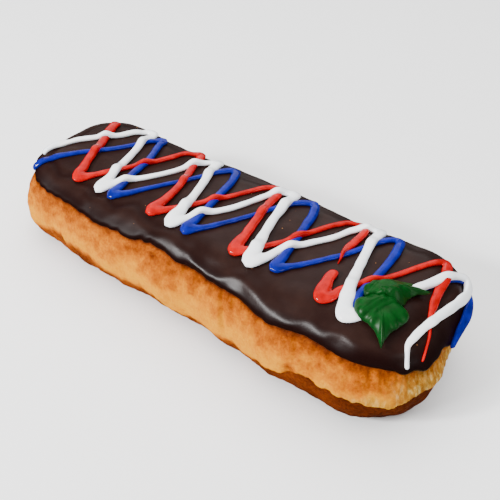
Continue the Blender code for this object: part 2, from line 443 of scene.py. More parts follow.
@dataclass(frozen=True)
class ChocolateIcing:
    """Warm chocolate icing poured on and set: a satin skin with soft, wide highlights."""

    ripple_mm: float = 7.0
    grain_mm: float = 0.35
    browns: Stops = ((0.3, "1C0D0A"), (0.5, "20110E"), (0.7, "251511"))
    # Painted shade: the colour that darkens the lip's front band and the hollows
    painted_shade: str = "140504"

    def make(self) -> bpy.types.Material:
        """The icing: dark brown, with painted shade on its lip and in its hollows, dulled where it dried
        first.

        Returns:
            The material.
        """
        look = Surface("chocolate_icing")
        place = look.place()
        ripple = look.noise(place, self.ripple_mm, 3.0)
        grain = look.noise(place, self.grain_mm, 2.0)
        # Towards the left end it dried matt
        dried = look.attribute("dried")
        # Painted shade: the colour turns darker along the front band of the lip and in the hollows, where
        # shade falls
        colour = look.mixed(look.attribute("rim"), look.ramp(ripple, self.browns), srgb(self.painted_shade))
        return look.finished({
            "Base Color": colour,
            "Roughness": look.scaled(dried, 0.12, look.between(ripple, 0.3, 0.36)),
            "Specular IOR Level": look.scaled(dried, -0.07, 0.14),
            "IOR": 1.47,
            "Normal": look.bump(look.scaled(grain, 0.12, ripple), 0.35, 0.5),
        })


@dataclass(frozen=True)
class PipedIcing:
    """Coloured sugar icing from a small nozzle: wet-looking, smooth, a little translucent."""

    name: str
    light: str
    deep: str
    roughness: float = 0.12
    glow: float = 0.08
    shine: float = 0.2
    streak_mm: float = 3.0

    def make(self) -> bpy.types.Material:
        """The icing of one colour, a shade deeper in patches where the colour lies thicker.

        Returns:
            The material.
        """
        look = Surface(self.name)
        # Streaks of colour a few millimetres long, stirred in unevenly
        stir = look.noise(look.place(), self.streak_mm, 3.0)
        return look.finished({
            "Base Color": look.ramp(stir, ((0.3, self.deep), (0.7, self.light))),
            "Roughness": self.roughness,
            "IOR": 1.48,
            "Specular IOR Level": self.shine,
            "Subsurface Weight": self.glow,
            "Subsurface Radius": (0.0015, 0.0012, 0.001),
            "Subsurface Scale": 0.5,
            "Normal": look.bump(stir, 0.06, 0.3),
        })


@dataclass(frozen=True)
class LooseCrumb:
    """Dry grains broken off the crust, some browner and some paler."""

    patch_mm: float = 9.0

    def make(self) -> bpy.types.Material:
        """The matt brown of the grains.

        Returns:
            The material.
        """
        look = Surface("crust_crumbs")
        shade = look.noise(look.place(), self.patch_mm, 1.0)
        colour = look.ramp(shade, ((0.4, "5A3010"), (0.6, "A87038")))
        return look.finished({"Base Color": colour, "Roughness": 0.6})


@dataclass(frozen=True)
class WhiteTable:
    """A matt white board, which lifts the shadows."""

    colour: str = "FAFAFA"

    def make(self) -> bpy.types.Material:
        """The matt white of the board."""
        return Surface("white_table").finished({"Base Color": srgb(self.colour), "Roughness": 0.8})


class LineColour(Enum):
    """The three lines, in the order in which they were piped."""

    BLUE = "blue_line"
    RED = "red_line"
    WHITE = "white_line"


FINISHES = {
    LineColour.BLUE: PipedIcing("blue_sugar_icing", "121C8C", "0A1064"),
    LineColour.RED: PipedIcing("red_sugar_icing", "BA060A", "900305"),
    LineColour.WHITE: PipedIcing("white_sugar_icing", "FAFBFD", "EEF1F5", glow=0.12),
}
LEAF_FINISH = PipedIcing("green_sugar_icing", "063E10", "022C07", roughness=0.38, glow=0.04, shine=0.15)


@dataclass
class Modelled:
    """A piece whose mesh starts as a bmesh shape and is then laid on the bar."""

    name: str

    def settle(
        self,
        shape: Shape,
        places: Array,
        material: bpy.types.Material,
        attributes: dict[str, Array] | None = None,
    ) -> bpy.types.Object:
        """Turn a bmesh into the finished piece.

        Args:
            shape: the bmesh, which is freed.
            places: where each of its vertices goes.
            material: the piece's finish.
            attributes: numbers for each vertex that the finish reads.

        Returns:
            The object.
        """
        for vertex, place in zip(shape.verts, places):
            vertex.co = place
        bmesh.ops.recalc_face_normals(shape, faces=shape.faces)
        mesh = bpy.data.meshes.new(self.name)
        shape.to_mesh(mesh)
        shape.free()
        for name, values in (attributes or {}).items():
            layer = mesh.attributes.new(name, "FLOAT", "POINT")
            layer.data.foreach_set("value", values.astype(np.float32))
        mesh.shade_smooth()
        mesh.materials.append(material)
        piece = bpy.data.objects.new(self.name, mesh)
        bpy.context.scene.collection.objects.link(piece)
        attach(piece, "root")
        return piece


def positions(shape: Shape) -> Array:
    """The coordinates of a bmesh's vertices, in its own order."""
    shape.verts.index_update()
    return np.array([vertex.co for vertex in shape.verts])


def edges_along(shape: Shape, axis: int) -> list[bmesh.types.BMEdge]:
    """The edges that run along one axis."""
    return [edge for edge in shape.edges if abs(edge.verts[0].co[axis] - edge.verts[1].co[axis]) > 1e-5]


def gridded_box(cuts: tuple[int, int, int]) -> Shape:
    """A cube from -1 to 1, cut into even strips along each axis.

    Args:
        cuts: how many cuts each axis gets.

    Returns:
        The cube.
    """
    shape = bmesh.new()
    bmesh.ops.create_cube(shape, size=2)
    for axis, count in enumerate(cuts):
        if count:
            bmesh.ops.subdivide_edges(shape, edges=edges_along(shape, axis), cuts=count, use_grid_fill=True)
    return shape


def ringed_tube(sides: int, rings: int) -> Shape:
    """A closed tube of radius 1 from z = -1 to 1.

    Args:
        sides: how many vertices a ring has.
        rings: how many rings there are.

    Returns:
        The tube.
    """
    shape = bmesh.new()
    bmesh.ops.create_cone(shape, cap_ends=True, segments=sides, radius1=1, radius2=1, depth=2)
    bmesh.ops.subdivide_edges(shape, edges=edges_along(shape, 2), cuts=rings - 2)
    return shape


def absorb(joined: Shape, shape: Shape) -> None:
    """Move all of one bmesh into another.

    Args:
        joined: the bmesh that grows.
        shape: the bmesh that goes into it, which is freed.
    """
    mesh = bpy.data.meshes.new("absorbed")
    shape.to_mesh(mesh)
    shape.free()
    joined.from_mesh(mesh)
    bpy.data.meshes.remove(mesh)


@dataclass
class Crust(Modelled):
    """The fried dough, from just under the icing's edge down to the flat foot.

    The browned foot's upper line is given along the front, from left to right, and round the right end, from
    front to back: places and heights in millimetres.
    """

    name: str = "crust"
    columns: int = 860
    rows: int = 84
    hidden_start: float = 4.0 * MM
    usual_base: float = 9.0
    front_base: Pairs = (
        (-72, 8.2), (-66, 9.0), (-58, 12.2), (-52, 13.6), (-50.6, 10.4), (-44, 12.4), (-37, 11.8), (-31, 8.8),
        (-6, 9.2), (0, 6.6), (5, 6.2), (12, 8.6), (27, 8.8), (32, 7.5), (40, 9.9), (46.5, 10.2), (50, 12.4),
        (55, 14.4), (60, 14.0), (66, 13.4), (71, 13.2), (76, 12.2),
    )
    end_base: Pairs = ((-24, 12.0), (-20, 13.6), (-17, 15.4), (-8, 15.8), (4, 15.0), (16, 9.5))
    pale_top: float = 16.6
    notch: float = 50.0
    palest: float = 0.17
    foot_brown: float = 0.68

    def base_line(self, points: Array) -> Array:
        """The browned foot's upper line.

        Args:
            points: places on the smooth bar.

        Returns:
            The line's height at each place, in millimetres.
        """
        x, y = points[:, 0] / MM, points[:, 1] / MM
        front = step(-y, 2.0, 14.0)
        end = step(x, 77.0, 81.0)
        along = np.interp(x, *np.array(self.front_base).T)
        across = np.interp(y, *np.array(self.end_base).T)
        height = self.usual_base * (1 - front) + along * front
        height = height * (1 - end) + across * end
        return height + layered(points[:, :2], (0.55, 19, 5), (0.4, 6, 6), (0.15, 2.2, 7))

    def pale_line(self, points: Array) -> Array:
        """The height where the pale middle turns brown towards the icing, in millimetres."""
        return self.pale_top + layered(points[:, :2], (1.1, 21, 8)) + layered(points, (0.9, 6, 9))

    def relief(self, points: Array, around: Array) -> Array:
        """How far the crust stands out or in.

        Args:
            points: places on the smooth bar.
            around: distance round the bar of each place.

        Returns:
            The relief in metres, outwards.
        """
        x, y, z = points.T / MM
        above = z - self.base_line(points)
        lumps = layered(points, (0.36, 17, 11), (0.14, 7, 12), (0.07, 3, 13))
        # The pale middle stands proud of the browned foot, with a sharp step near the right end
        sharp = step(x, 30, 50)
        overhang = 0.5 * step(above, -1.6, 1.6) * (1 - sharp) + 1.25 * step(above, -0.5, 0.6) * sharp
        overhang *= 1 - 0.8 * step(z, 14, 21)
        # Fine upright pleats below the icing, where the skin shrank
        drawn_out = np.column_stack([around, points[:, 2] * 0.22])
        pleats = layered(drawn_out, (0.2, 3.4, 15), (0.12, 1.7, 16))
        pleats *= step(z, 15, 20) * (0.12 + 0.88 * step(x, -12, 8))
        # One leaning crease in the front, with a soft ridge beside it
        front = step(-y, 5, 15)
        lean = x - 24 + 0.35 * (z - 15)
        crease = -0.9 * bell(lean, 0, 0.7) * front * step(z, 11, 15)
        crease += 0.5 * bell(lean, -2, 1.6) * front * step(z, 9, 15)
        # The overhang breaks off at the notch
        notch = -1.4 * bell(x, self.notch, 1.5) * front * bell(z, 13.2, 3.2)
        return (lumps + overhang + pleats + crease + notch) * step(z, 0, 2.5) * MM

    def browning_and_shade(self, points: Array, below: Array) -> Array:
        """How brown each place is, with painted shadow added under the icing's lip.

        Args:
            points: places on the smooth bar.
            below: how far each place lies below the icing's lip, in millimetres.

        Returns:
            0 for pale crumb, up to 1 for the darkest foot.
        """
        x, y, z = points.T / MM
        above_pale = z - self.pale_line(points)
        right = step(x, 25, 75)
        # Above the foot: pale in the middle, palest at the right end, and golden under the icing
        upper = self.palest + 0.24 * step(above_pale, -3.5, 2.5) + 0.14 * step(z, 19, 24)
        upper += layered(points, (0.04, 9, 18), (0.05, 4, 17)) * step(above_pale, -3, 2)
        upper += layered(points, (0.03, 14, 19)) + 0.03 * right * step(above_pale, -2, 2)
        upper -= 0.13 * step(x, 50, 70) * (1 - step(above_pale, -5, -0.5))
        foot = self.foot_brown + 0.2 * right + layered(points, (0.07, 12, 20)) + 0.06 * (1 - step(z, 0, 3))
        border = 0.5 + 1.2 * (1 - right)
        is_foot = 1 - np.clip((z - self.base_line(points)) / border * 0.5 + 0.5, 0, 1)
        toasted = upper * (1 - is_foot) + foot * is_foot
        # A dull, half-baked patch where the crust parted at the notch
        patch = 0.36 * bell(x, self.notch + 0.2, 2.3) * bell(z, 14, 2.2) * step(-y, 15, 25)
        # Painted shadow: the crust is darkened in a thin line just under the icing's lip, where the lip
        # shades it
        lip_shadow = (0.34 - 0.24 * right) * bell(np.maximum(below, 0), 0, 1.1 + 1.3 * right)
        return toasted + patch + lip_shadow

    def build(self, icing: Icing) -> bpy.types.Object:
        """Wrap a ringed tube round the bar and lay the crust's relief and browning on it.

        Args:
            icing: the chocolate that ends on it.

        Returns:
            The crust.
        """
        shape = ringed_tube(self.columns, self.rows)
        unit = positions(shape)
        share = (np.arctan2(unit[:, 1], unit[:, 0]) / (2 * math.pi)) % 1
        core, outward = BAR.way_round(share)
        grown = self.hidden_start + (BAR.side_length - self.hidden_start) * (1 - unit[:, 2]) / 2
        plan = core + outward * (BAR.flat_radius + grown)[:, None]
        smooth = BAR.drape(plan, np.zeros(len(plan)))
        places = BAR.drape(plan, self.relief(smooth, share * 2 * (BAR.length + BAR.width)))
        places[:, 2] = np.maximum(places[:, 2], 0)
        # The right end was torn from its neighbour in the fryer: threads of crumb, also along its lower front
        x, y, z = smooth.T / MM
        torn = step(x + 0.3 * y, 69, 78) * (1 - 0.75 * step(z, 17, 23))
        lower = 0.8 * step(x + 0.3 * y, 42, 64) * (1 - step(z - self.pale_line(smooth), -4.5, -0.5))
        torn = np.maximum(torn, lower) * step(z - self.base_line(smooth), -0.5, 1.0)
        below = (grown - icing.lip_at(core + outward * BAR.corner_radius)) / MM
        # The browning values include the painted shadow under the icing's lip
        attributes = {"browning_and_shade": self.browning_and_shade(smooth, below), "fibrous": 0.85 * torn}
        piece = self.settle(shape, places, FriedCrust().make(), attributes)
        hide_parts("dough")
        return piece


@dataclass
class Icing(Modelled):
    """The chocolate icing: a skin that rolls over the shoulder and ends in a scalloped lip."""

    name: str = "chocolate_icing"
    strips: tuple[int, int, int] = (300, 112, 3)
    gap: float = 0.15 * MM
    top: float = 1.9 * MM
    lip: float = 1.2 * MM
    lip_bulge: float = 0.45 * MM
    lip_samples: int = 2400
    flat_share: float = 0.52
    round_start: float = 0.93
    drop: float = 10.6 * MM
    run: float = 5.0 * MM
    roll_past: float = 8.7
    roll_height: float = 0.55
    hollow_past: float = 5.3
    hollow_depth: float = 0.36
    edge_waves: tuple[tuple[float, int, float], ...] = (
        (0.45 * MM, 9, 0.4),
        (0.35 * MM, 17, 1.9),
        (0.3 * MM, 29, 3.0),
    )

    def edge(self, direction: Array) -> Array:
        """How far down the side the icing runs.

        Args:
            direction: rows on the edge of the unit square, round the bar.

        Returns:
            The distance past the flat top's edge in each direction.
        """
        turn = np.arctan2(direction[:, 1], direction[:, 0])
        down = self.drop + self.run * np.clip(np.cos(turn), 0, 1) ** 2
        for size, count, phase in self.edge_waves:
            down += size * np.sin(count * turn + phase)
        # Scallops where the icing crept down between bubbles, coarser towards the left end
        spot = BAR.rim(direction, down)
        left = 0.35 + 0.65 * (1 - step(spot[:, 0], -15 * MM, 25 * MM))
        scallops = left * layered(spot, (0.26, 7.5, 37), (0.2, 4.2, 39)) + layered(spot, (0.05, 2.4, 38))
        return down + scallops * MM

    def lip_at(self, outline: Array) -> Array:
        """How far down the side the lip lies.

        Args:
            outline: points of the bar's outline.

        Returns:
            The distance past the flat top's edge at each point.
        """
        turn = np.linspace(0, 2 * math.pi, self.lip_samples, endpoint=False)
        circle = np.column_stack([np.cos(turn), np.sin(turn)])
        direction = circle / np.abs(circle).max(axis=1)[:, None]
        down = self.edge(direction)
        spot = BAR.rim(direction, down)
        nearest, outward, _ = BAR.from_core(spot)
        ring = nearest + outward * BAR.corner_radius
        known = np.arctan2(ring[:, 1], ring[:, 0])
        order = np.argsort(known)
        wanted = np.arctan2(outline[:, 1], outline[:, 0])
        return np.interp(wanted, known[order], down[order], period=2 * math.pi)

    def folds(self, plan: Array) -> tuple[Array, Array]:
        """The folds it set in.

        Args:
            plan: places on the blanket.

        Returns:
            How strong the roll along the shoulder is at each place, and the hollow inside it.
        """
        past = BAR.past_edge(plan) / MM
        wander = layered(plan[:, :1], (1.0, 31, 31), (0.6, 13, 32))
        left = 1 - step(plan[:, 0], -30 * MM, 15 * MM)
        strength = (0.8 + layered(plan, (0.2, 24, 33))) * (1 - 0.45 * left)
        roll = strength * bell(past, self.roll_past + wander - 3.1 * left, 2.0)
        hollow = (0.28 + 0.82 * left) * bell(past, self.hollow_past + wander - 2.2 * left, 1.4)
        return roll, hollow

    def surface(self, plan: Array) -> Array:
        """The height of the icing's face over the dough away from the lip, with its folds and slow lumps.

        Args:
            plan: places on the blanket.

        Returns:
            The height at each place, in metres.
        """
        past = BAR.past_edge(plan) / MM
        roll, hollow = self.folds(plan)
        lumps = layered(plan, (0.14, 26, 35), (0.04, 8, 36))
        lumps += layered(plan, (0.1, 13, 34)) * step(past, -3, 2)
        return self.top + (self.roll_height * roll - self.hollow_depth * hollow + lumps) * MM

    def build(self) -> bpy.types.Object:
        """Flatten a gridded box to a skin and drape it over the dough.

        Returns:
            The icing.
        """
        shape = gridded_box(self.strips)
        unit = positions(shape)
        ring = np.abs(unit[:, :2]).max(axis=1)
        direction = unit[:, :2] / np.maximum(ring, TINY)[:, None]
        inner = BAR.rim(direction, np.zeros(len(ring))) * (ring / self.flat_share)[:, None]
        share = np.clip((ring - self.flat_share) / (1 - self.flat_share), 0, 1)
        outer = BAR.rim(direction, self.edge(direction) * share)
        plan = np.where((ring < self.flat_share)[:, None], inner, outer)
        high = (unit[:, 2] + 1) / 2
        # The lip: the skin thins to its edge in a round, which bulges out half way up
        near_edge = np.clip((ring - self.round_start) / (1 - self.round_start), 0, 1)
        face = self.surface(plan)
        thickness = self.lip + (face - self.gap - self.lip) * np.sqrt(1 - near_edge**2)
        round_out = np.where(ring > 0.999, self.lip_bulge * np.sin(math.pi * high), 0)
        plan = plan + BAR.from_core(plan)[1] * round_out[:, None]
        places = BAR.drape(plan, self.gap + thickness * high)
        # Painted shade mask: 1 over the lip's front band and, more faintly, in the hollows of the folds
        rim = np.maximum(step(ring, 0.8, 0.95), 0.6 * self.folds(plan)[1])
        dried = 1 - step(plan[:, 0], -30 * MM, 8 * MM)
        piece = self.settle(shape, places, ChocolateIcing().make(), {"rim": rim, "dried": dried})
        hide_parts("icing")
        return piece


@dataclass
class PipedLine(Modelled):
    """One line of sugar icing, laid in a zigzag over the chocolate and over the lines before it.

    A run is a list of turns: x and y on the blanket and the bead's half width there, all in millimetres.
    """

    name: str
    colour: LineColour
    runs: tuple[Triples, ...]
    sides: int = 20
    pace: float = 0.5
    grain: float = 0.25
    end_round: float = 1.6
    end_rings: int = 8
    samples: int = 24
    reach: float = 6.0 * MM
    settling: float = 5.5
    least_height: float = 0.55 * MM
    height_share: float = 0.72

    def path(self, turns: Triples) -> Array:
        """A smooth path through the turns.

        Args:
            turns: the run's turns.

        Returns:
            Rows of x, y and half width in metres, at an even pace and closer together at both ends.
        """
        spots = np.array(turns, dtype=float)
        spots = np.vstack([2 * spots[0] - spots[1], spots, 2 * spots[-1] - spots[-2]])
        gaps = np.sqrt(np.linalg.norm(np.diff(spots[:, :2], axis=0), axis=1))
        marks = np.append(0, np.cumsum(gaps))
        pieces = []
        for n in range(1, len(spots) - 2):
            at = np.linspace(marks[n], marks[n + 1], self.samples, endpoint=False)[:, None]
            before, start, end, after = spots[n - 1 : n + 3]
            t0, t1, t2, t3 = marks[n - 1 : n + 3]
            first = ((t1 - at) * before + (at - t0) * start) / (t1 - t0)
            second = ((t2 - at) * start + (at - t1) * end) / (t2 - t1)
            third = ((t3 - at) * end + (at - t2) * after) / (t3 - t2)
            low = ((t2 - at) * first + (at - t0) * second) / (t2 - t0)
            high = ((t3 - at) * second + (at - t1) * third) / (t3 - t1)
            pieces.append(((t2 - at) * low + (at - t1) * high) / (t2 - t1))
        line = np.vstack([*pieces, spots[-2:-1]])
        gone = travelled(line)
        total = gone[-1]
        tail = (1 - np.cos(np.linspace(0, math.pi / 2, self.end_rings + 1)[:-1])) * self.end_round
        even = np.linspace(self.end_round, total - self.end_round, int(total / self.pace))
        even = np.concatenate([tail, even, total - tail[::-1]])
        return np.column_stack([np.interp(even, gone, line[:, axis]) for axis in range(3)]) * MM

    def paths(self) -> list[Array]:
        """The smooth paths of all runs."""
        return [self.path(turns) for turns in self.runs]

    def height(self, half: Array) -> Array:
        """How tall the bead stands for its half width."""
        return self.least_height + self.height_share * half

    def ridge(self, plan: Array) -> Array:
        """How high this line stands over points of the blanket.

        Args:
            plan: rows of x and y on the blanket.

        Returns:
            The height above the chocolate, 0 beside the line.
        """
        top = np.zeros(len(plan))
        low, high = plan.min(axis=0) - self.reach, plan.max(axis=0) + self.reach
        for line in self.paths():
            line = line[((line[:, :2] > low) & (line[:, :2] < high)).all(axis=1)]
            if not len(line):
                continue
            for start in range(0, len(plan), ROWS_AT_ONCE):
                some = slice(start, start + ROWS_AT_ONCE)
                gaps = np.linalg.norm(plan[some, None] - line[None, :, :2], axis=2)
                near = gaps.argmin(axis=1)
                half = line[near, 2]
                share = np.clip(gaps[np.arange(len(near)), near] / (half + 0.35 * MM), 0, 1)
                top[some] = np.maximum(top[some], self.height(half) * np.sqrt(1 - share**2))
        return top

    def build(self, icing: Icing, under: list[PipedLine]) -> bpy.types.Object:
        """Lay the bead over the chocolate and the lines before it.

        Args:
            icing: the chocolate that carries it.
            under: the lines piped before it.

        Returns:
            The line.
        """
        joined = bmesh.new()
        rows = []
        for line in self.paths():
            shape = ringed_tube(self.sides, len(line))
            rows.append(self.lay(positions(shape), line, icing, under))
            absorb(joined, shape)
        piece = self.settle(joined, np.concatenate(rows), FINISHES[self.colour].make())
        # Where a bead turns back on itself, the wet icing runs into one drop
        fuse = piece.modifiers.new("fused_bead", "REMESH")
        fuse.mode = "VOXEL"
        fuse.voxel_size = self.grain * MM
        fuse.use_smooth_shade = True
        relax = piece.modifiers.new("surface_tension", "SMOOTH")
        relax.factor = 0.5
        relax.iterations = 4
        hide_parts("icing")
        return piece

    def lay(self, unit: Array, line: Array, icing: Icing, under: list[PipedLine]) -> Array:
        """Place the vertices of a unit tube along a path.

        Args:
            unit: the tube's vertices.
            line: the smooth path.
            icing: the chocolate that carries the bead.
            under: the lines piped before it.

        Returns:
            Where each vertex goes.
        """
        place = np.rint((unit[:, 2] + 1) / 2 * (len(line) - 1)).astype(int)
        gone = travelled(line)
        from_end = np.minimum(gone, gone[-1] - gone)
        blunt = np.sqrt(np.clip(1 - (1 - np.clip(from_end / line[:, 2], 0, 1)) ** 2, 0.0025, 1))
        raised = np.zeros(len(line))
        for other in under:
            raised = np.maximum(raised, other.ridge(line[:, :2]))
        # It climbs over the lines below in slow waves, since it is stiff
        width = 2 * int(self.settling / self.pace / 2) + 1
        kernel = np.hanning(width + 2)[1:-1]
        raised = np.convolve(np.pad(raised, width // 2, mode="edge"), kernel / kernel.sum(), "valid")
        ahead = np.gradient(line[:, :2], axis=0)
        ahead /= np.linalg.norm(ahead, axis=1)[:, None]
        sideways = np.column_stack([-ahead[:, 1], ahead[:, 0]])
        # The bead sags: full and round above, and sunk into the chocolate below
        half = line[:, 2] * blunt * (1 + 0.05 * uneven(line[:, :2], 6 * MM, 41))
        tall = self.height(line[:, 2]) * blunt
        across, up = unit[:, 0], unit[:, 1]
        plan = line[place, :2] + sideways[place] * (across * half[place])[:, None]
        middle = 0.42 * tall[place]
        swing = np.where(up > 0, tall[place] - middle, middle + 0.3 * MM)
        lift = middle + swing * np.sign(up) * np.abs(up) ** 0.92
        sunk = np.where(up > 0, raised[place], raised[place] * 0.35)
        return BAR.drape(plan, icing.surface(plan) + lift + sunk)


@dataclass
class PipedLeaf(Modelled):
    """A leaf from a V-shaped nozzle: lobes pressed out in ribs round a middle, then drawn off to a point.

    The outline is a list of angles from the tip's direction, in degrees and to the left, and of distances
    from the leaf's middle, in millimetres.
    """

    name: str
    node: str
    middle: tuple[float, float]
    heading: float
    outline: Pairs
    thickness: float = 1.7
    edge: float = 0.9
    dome: float = 1.8
    dome_radius: float = 8.5
    spine_height: float = 0.45
    spine_width: float = 0.38
    roof_height: float = 0.8
    roof_width: float = 2.6
    stand: float = 0.5
    rib_depth: float = 0.26
    ribs: float = 9.0
    scallop: float = 0.018
    flap: tuple[float, float, float] = (0.0, 0.0, 40.0)
    lifted: tuple[float, float, float] = (0.0, 0.0, 40.0)
    strips: tuple[int, int, int] = (150, 150, 3)

    def reach(self, angle: Array) -> Array:
        """How far the leaf reaches from its middle.

        Args:
            angle: angles from the tip's direction, in degrees.

        Returns:
            The distance at each angle, in metres.
        """
        angles, reaches = np.array(self.outline).T
        angles = np.concatenate([angles - 360, angles, angles + 360])
        return np.interp(angle, angles, np.tile(reaches, 3)) * MM

    def carried(self, plan: Array, under: list[PipedLine]) -> Array:
        """How far the lines below hold the leaf up; it bridges their edges softly.

        Args:
            plan: rows of x and y on the blanket.
            under: the lines below.

        Returns:
            The height at each row, in metres.
        """
        spots, places = np.unique(np.round(plan, 6), axis=0, return_inverse=True)
        turns = np.linspace(0, 2 * math.pi, 6, endpoint=False)
        circle = np.column_stack([np.cos(turns), np.sin(turns)]) * 1.5 * MM
        held = np.zeros(len(spots))
        for offset in [np.zeros(2), *circle]:
            top = np.max([line.ridge(spots + offset) for line in under], axis=0)
            held += top / (len(circle) + 1)
        return held[places.ravel()]

    def build(self, icing: Icing, under: list[PipedLine]) -> bpy.types.Object:
        """Shape the leaf over what it lies on.

        Args:
            icing: the chocolate below.
            under: the lines below.

        Returns:
            The leaf.
        """
        shape = gridded_box(self.strips)
        unit = positions(shape)
        ring = np.abs(unit[:, :2]).max(axis=1)
        angle = np.degrees(np.arctan2(unit[:, 1], unit[:, 0]))
        high = (unit[:, 2] + 1) / 2
        # The outline is softened except at the tip, and scalloped by the ribs
        far = self.reach(angle)
        for spread in (2.0, 5.0):
            far = 0.5 * far + 0.25 * (self.reach(angle - spread) + self.reach(angle + spread))
        tip_pull = bell(angle, 0, 9.0)
        far = far * (1 - tip_pull) + self.reach(angle) * tip_pull
        ribbing = np.sin(np.radians(angle) * self.ribs + 0.8 + 0.6 * np.sin(np.radians(angle) * 2))
        far = far * (1 + self.scallop * ribbing * (1 - tip_pull))
        way = np.radians(self.heading + angle)
        heading = np.column_stack([np.cos(way), np.sin(way)])
        plan = np.array(self.middle) * MM + heading * (far * ring)[:, None]
        carried = self.carried(plan, under)
        # It is thickest in the middle and thin at its edge and its tip
        out = far * ring / MM
        arch = np.clip(1 - (out / self.dome_radius) ** 2, 0, 1)
        body = np.clip(1 - ring**6, 0, 1) ** 0.5
        to_tip = bell(angle, 0, 26.0)
        thick = self.edge * (1 - 0.35 * to_tip * ring)
        thick += (self.thickness - self.edge) * (0.4 + 0.6 * arch) * body
        thick *= 0.35 + 0.65 * np.sqrt(np.clip(1 - ring**10, 0, 1))
        # Grooves run outwards between the ribs, and a raised spine and a low roof run to the tip
        groove = self.rib_depth * ribbing * step(ring, 0.35, 0.95) * (1 - 0.75 * to_tip)
        aside, ahead = np.radians(angle) * out, bell(angle, 0, 60)
        spine = self.spine_height * bell(aside, 0, self.spine_width) * step(ring, 0.12, 0.4) * ahead
        roof = self.roof_height * np.exp(-np.abs(aside) / self.roof_width) * ahead * step(ring, 0.2, 0.6)
        # One side may be folded over and one lifted
        turned, where, width = self.flap
        curl = turned * bell(angle, where, width) * (np.sin(math.pi * np.clip(ring, 0, 1)) - 0.35 * ring**3)
        height, where, width = self.lifted
        curl = curl + height * bell(angle, where, width) * ring**2
        under_side = np.maximum(self.stand + self.dome * arch + groove + roof + curl, 0.1)
        swirl = layered(plan, (0.06, 4.0, 51))
        lift = icing.surface(plan) + np.maximum(carried * (0.9 - 0.5 * ring**2), 0)
        lift += (under_side + (thick + spine + swirl) * high) * MM
        piece = self.settle(shape, BAR.drape(plan, lift), LEAF_FINISH.make())
        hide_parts(self.node)
        return piece


BLUE_RUNS = (
    (
        (-73.6, -21.4, 1.7), (-69.8, -16.6, 1.35), (-64.6, -9.6, 1.1), (-59.6, -3.2, 1.0), (-55, 4, 0.95),
        (-51.6, 10.5, 1.0), (-48.8, 16, 1.3), (-45.6, 18.6, 1.6), (-42.8, 13, 1.5), (-39.2, 4, 1.45),
        (-37.4, -4.4, 1.4), (-35.4, -11.6, 1.5), (-34.4, -17, 2.0), (-31, -14.8, 1.3), (-26.4, -9.2, 1.0),
        (-20.6, -0.8, 0.9), (-16, 8.4, 0.95), (-13.2, 14.4, 1.15), (-9.4, 18.6, 1.5), (-6, 13.5, 1.5),
        (-3.8, 4, 1.4), (-2.2, -5, 1.35), (-1.4, -12, 1.55), (-0.8, -17, 2.0), (2.8, -14.4, 1.25),
        (7, -8, 0.95), (12, 1, 0.85), (15.8, 9, 0.95), (19, 15.2, 1.15), (23.6, 19.2, 1.5),
        (26.8, 15.2, 1.6), (28.8, 7.6, 1.5), (30.4, -0.6, 1.35), (31.8, -8.4, 1.55), (32.6, -14, 1.95),
        (36, -10.4, 1.15), (41.6, -4, 0.95), (46.4, 2.4, 0.95), (49.4, 9.2, 1.0), (52.4, 15.6, 1.1),
        (56.4, 19.8, 1.4), (58.6, 14, 1.5), (59.3, 4, 1.3), (59.2, -5, 1.3), (59.3, -13, 1.3),
        (60.6, -15.8, 1.2), (65.6, -11, 1.0), (69.8, -1.6, 1.0), (73.2, 7, 0.95), (76, 13.6, 0.95),
        (79, 17.0, 1.0), (82, 14.4, 1.2), (83.8, 9.2, 1.5), (85.1, 3.9, 1.3), (86.1, 0, 0.95),
        (86.8, -2.4, 0.65),
    ),
)
RED_RUNS = (
    (
        (-69.4, 17.2, 1.9), (-65.2, 8.8, 1.85), (-60.5, 0, 1.6), (-57.5, -8, 1.7), (-55, -13.5, 1.9),
        (-53.6, -17, 2.2), (-50.4, -15.2, 1.6), (-46.4, -9.5, 1.2), (-42, -3, 1.15), (-37.6, 4.6, 1.15),
        (-34.4, 11, 1.15), (-31.4, 17.4, 1.25), (-27.8, 20.6, 1.5), (-25, 18, 1.7), (-23, 12.4, 1.6),
        (-19.8, 4.5, 1.4), (-17.6, -3.2, 1.45), (-16.6, -11.5, 1.7), (-16.6, -16.8, 2.2), (-13.4, -15, 1.5),
        (-10, -10.4, 1.1), (-6, -4.4, 1.0), (-1.6, 2.4, 1.0), (2.4, 10.4, 1.0), (5.6, 16, 1.15),
        (9, 18.8, 1.4), (11.6, 15.5, 1.6), (12.8, 9, 1.45), (14.4, 1, 1.5), (16.4, -8, 1.7),
        (18.2, -15.8, 2.3), (21, -13.8, 1.4), (24, -9.2, 1.05), (28.4, -2, 0.95), (32.4, 6, 0.95),
        (36.4, 15, 1.0), (39.8, 20.4, 1.15), (43, 21.6, 1.4), (45.6, 17, 1.4), (45.9, 10, 1.4),
        (45.6, 5.4, 1.1), (46, 2.4, 0.7), (46.6, 0, 0.35), (47, -2.2, 0.18),
    ),
    (
        (48.6, -5.6, 1.4), (48.5, -8.8, 1.7), (49.2, -12.2, 2.0), (50.6, -16.2, 2.3), (53, -15.6, 1.7),
        (53.6, -12, 1.15), (56.4, -7.6, 1.0), (60.4, -1.6, 0.95), (64.6, 6, 0.95), (68.6, 13.6, 1.0),
        (71.6, 18.6, 1.3), (73.7, 14, 1.4), (74.9, 6.8, 1.25), (76.1, -0.3, 1.0), (77.8, -6.3, 0.5),
        (80, -11, 0.3), (81.8, -15.6, 0.26),
    ),
)
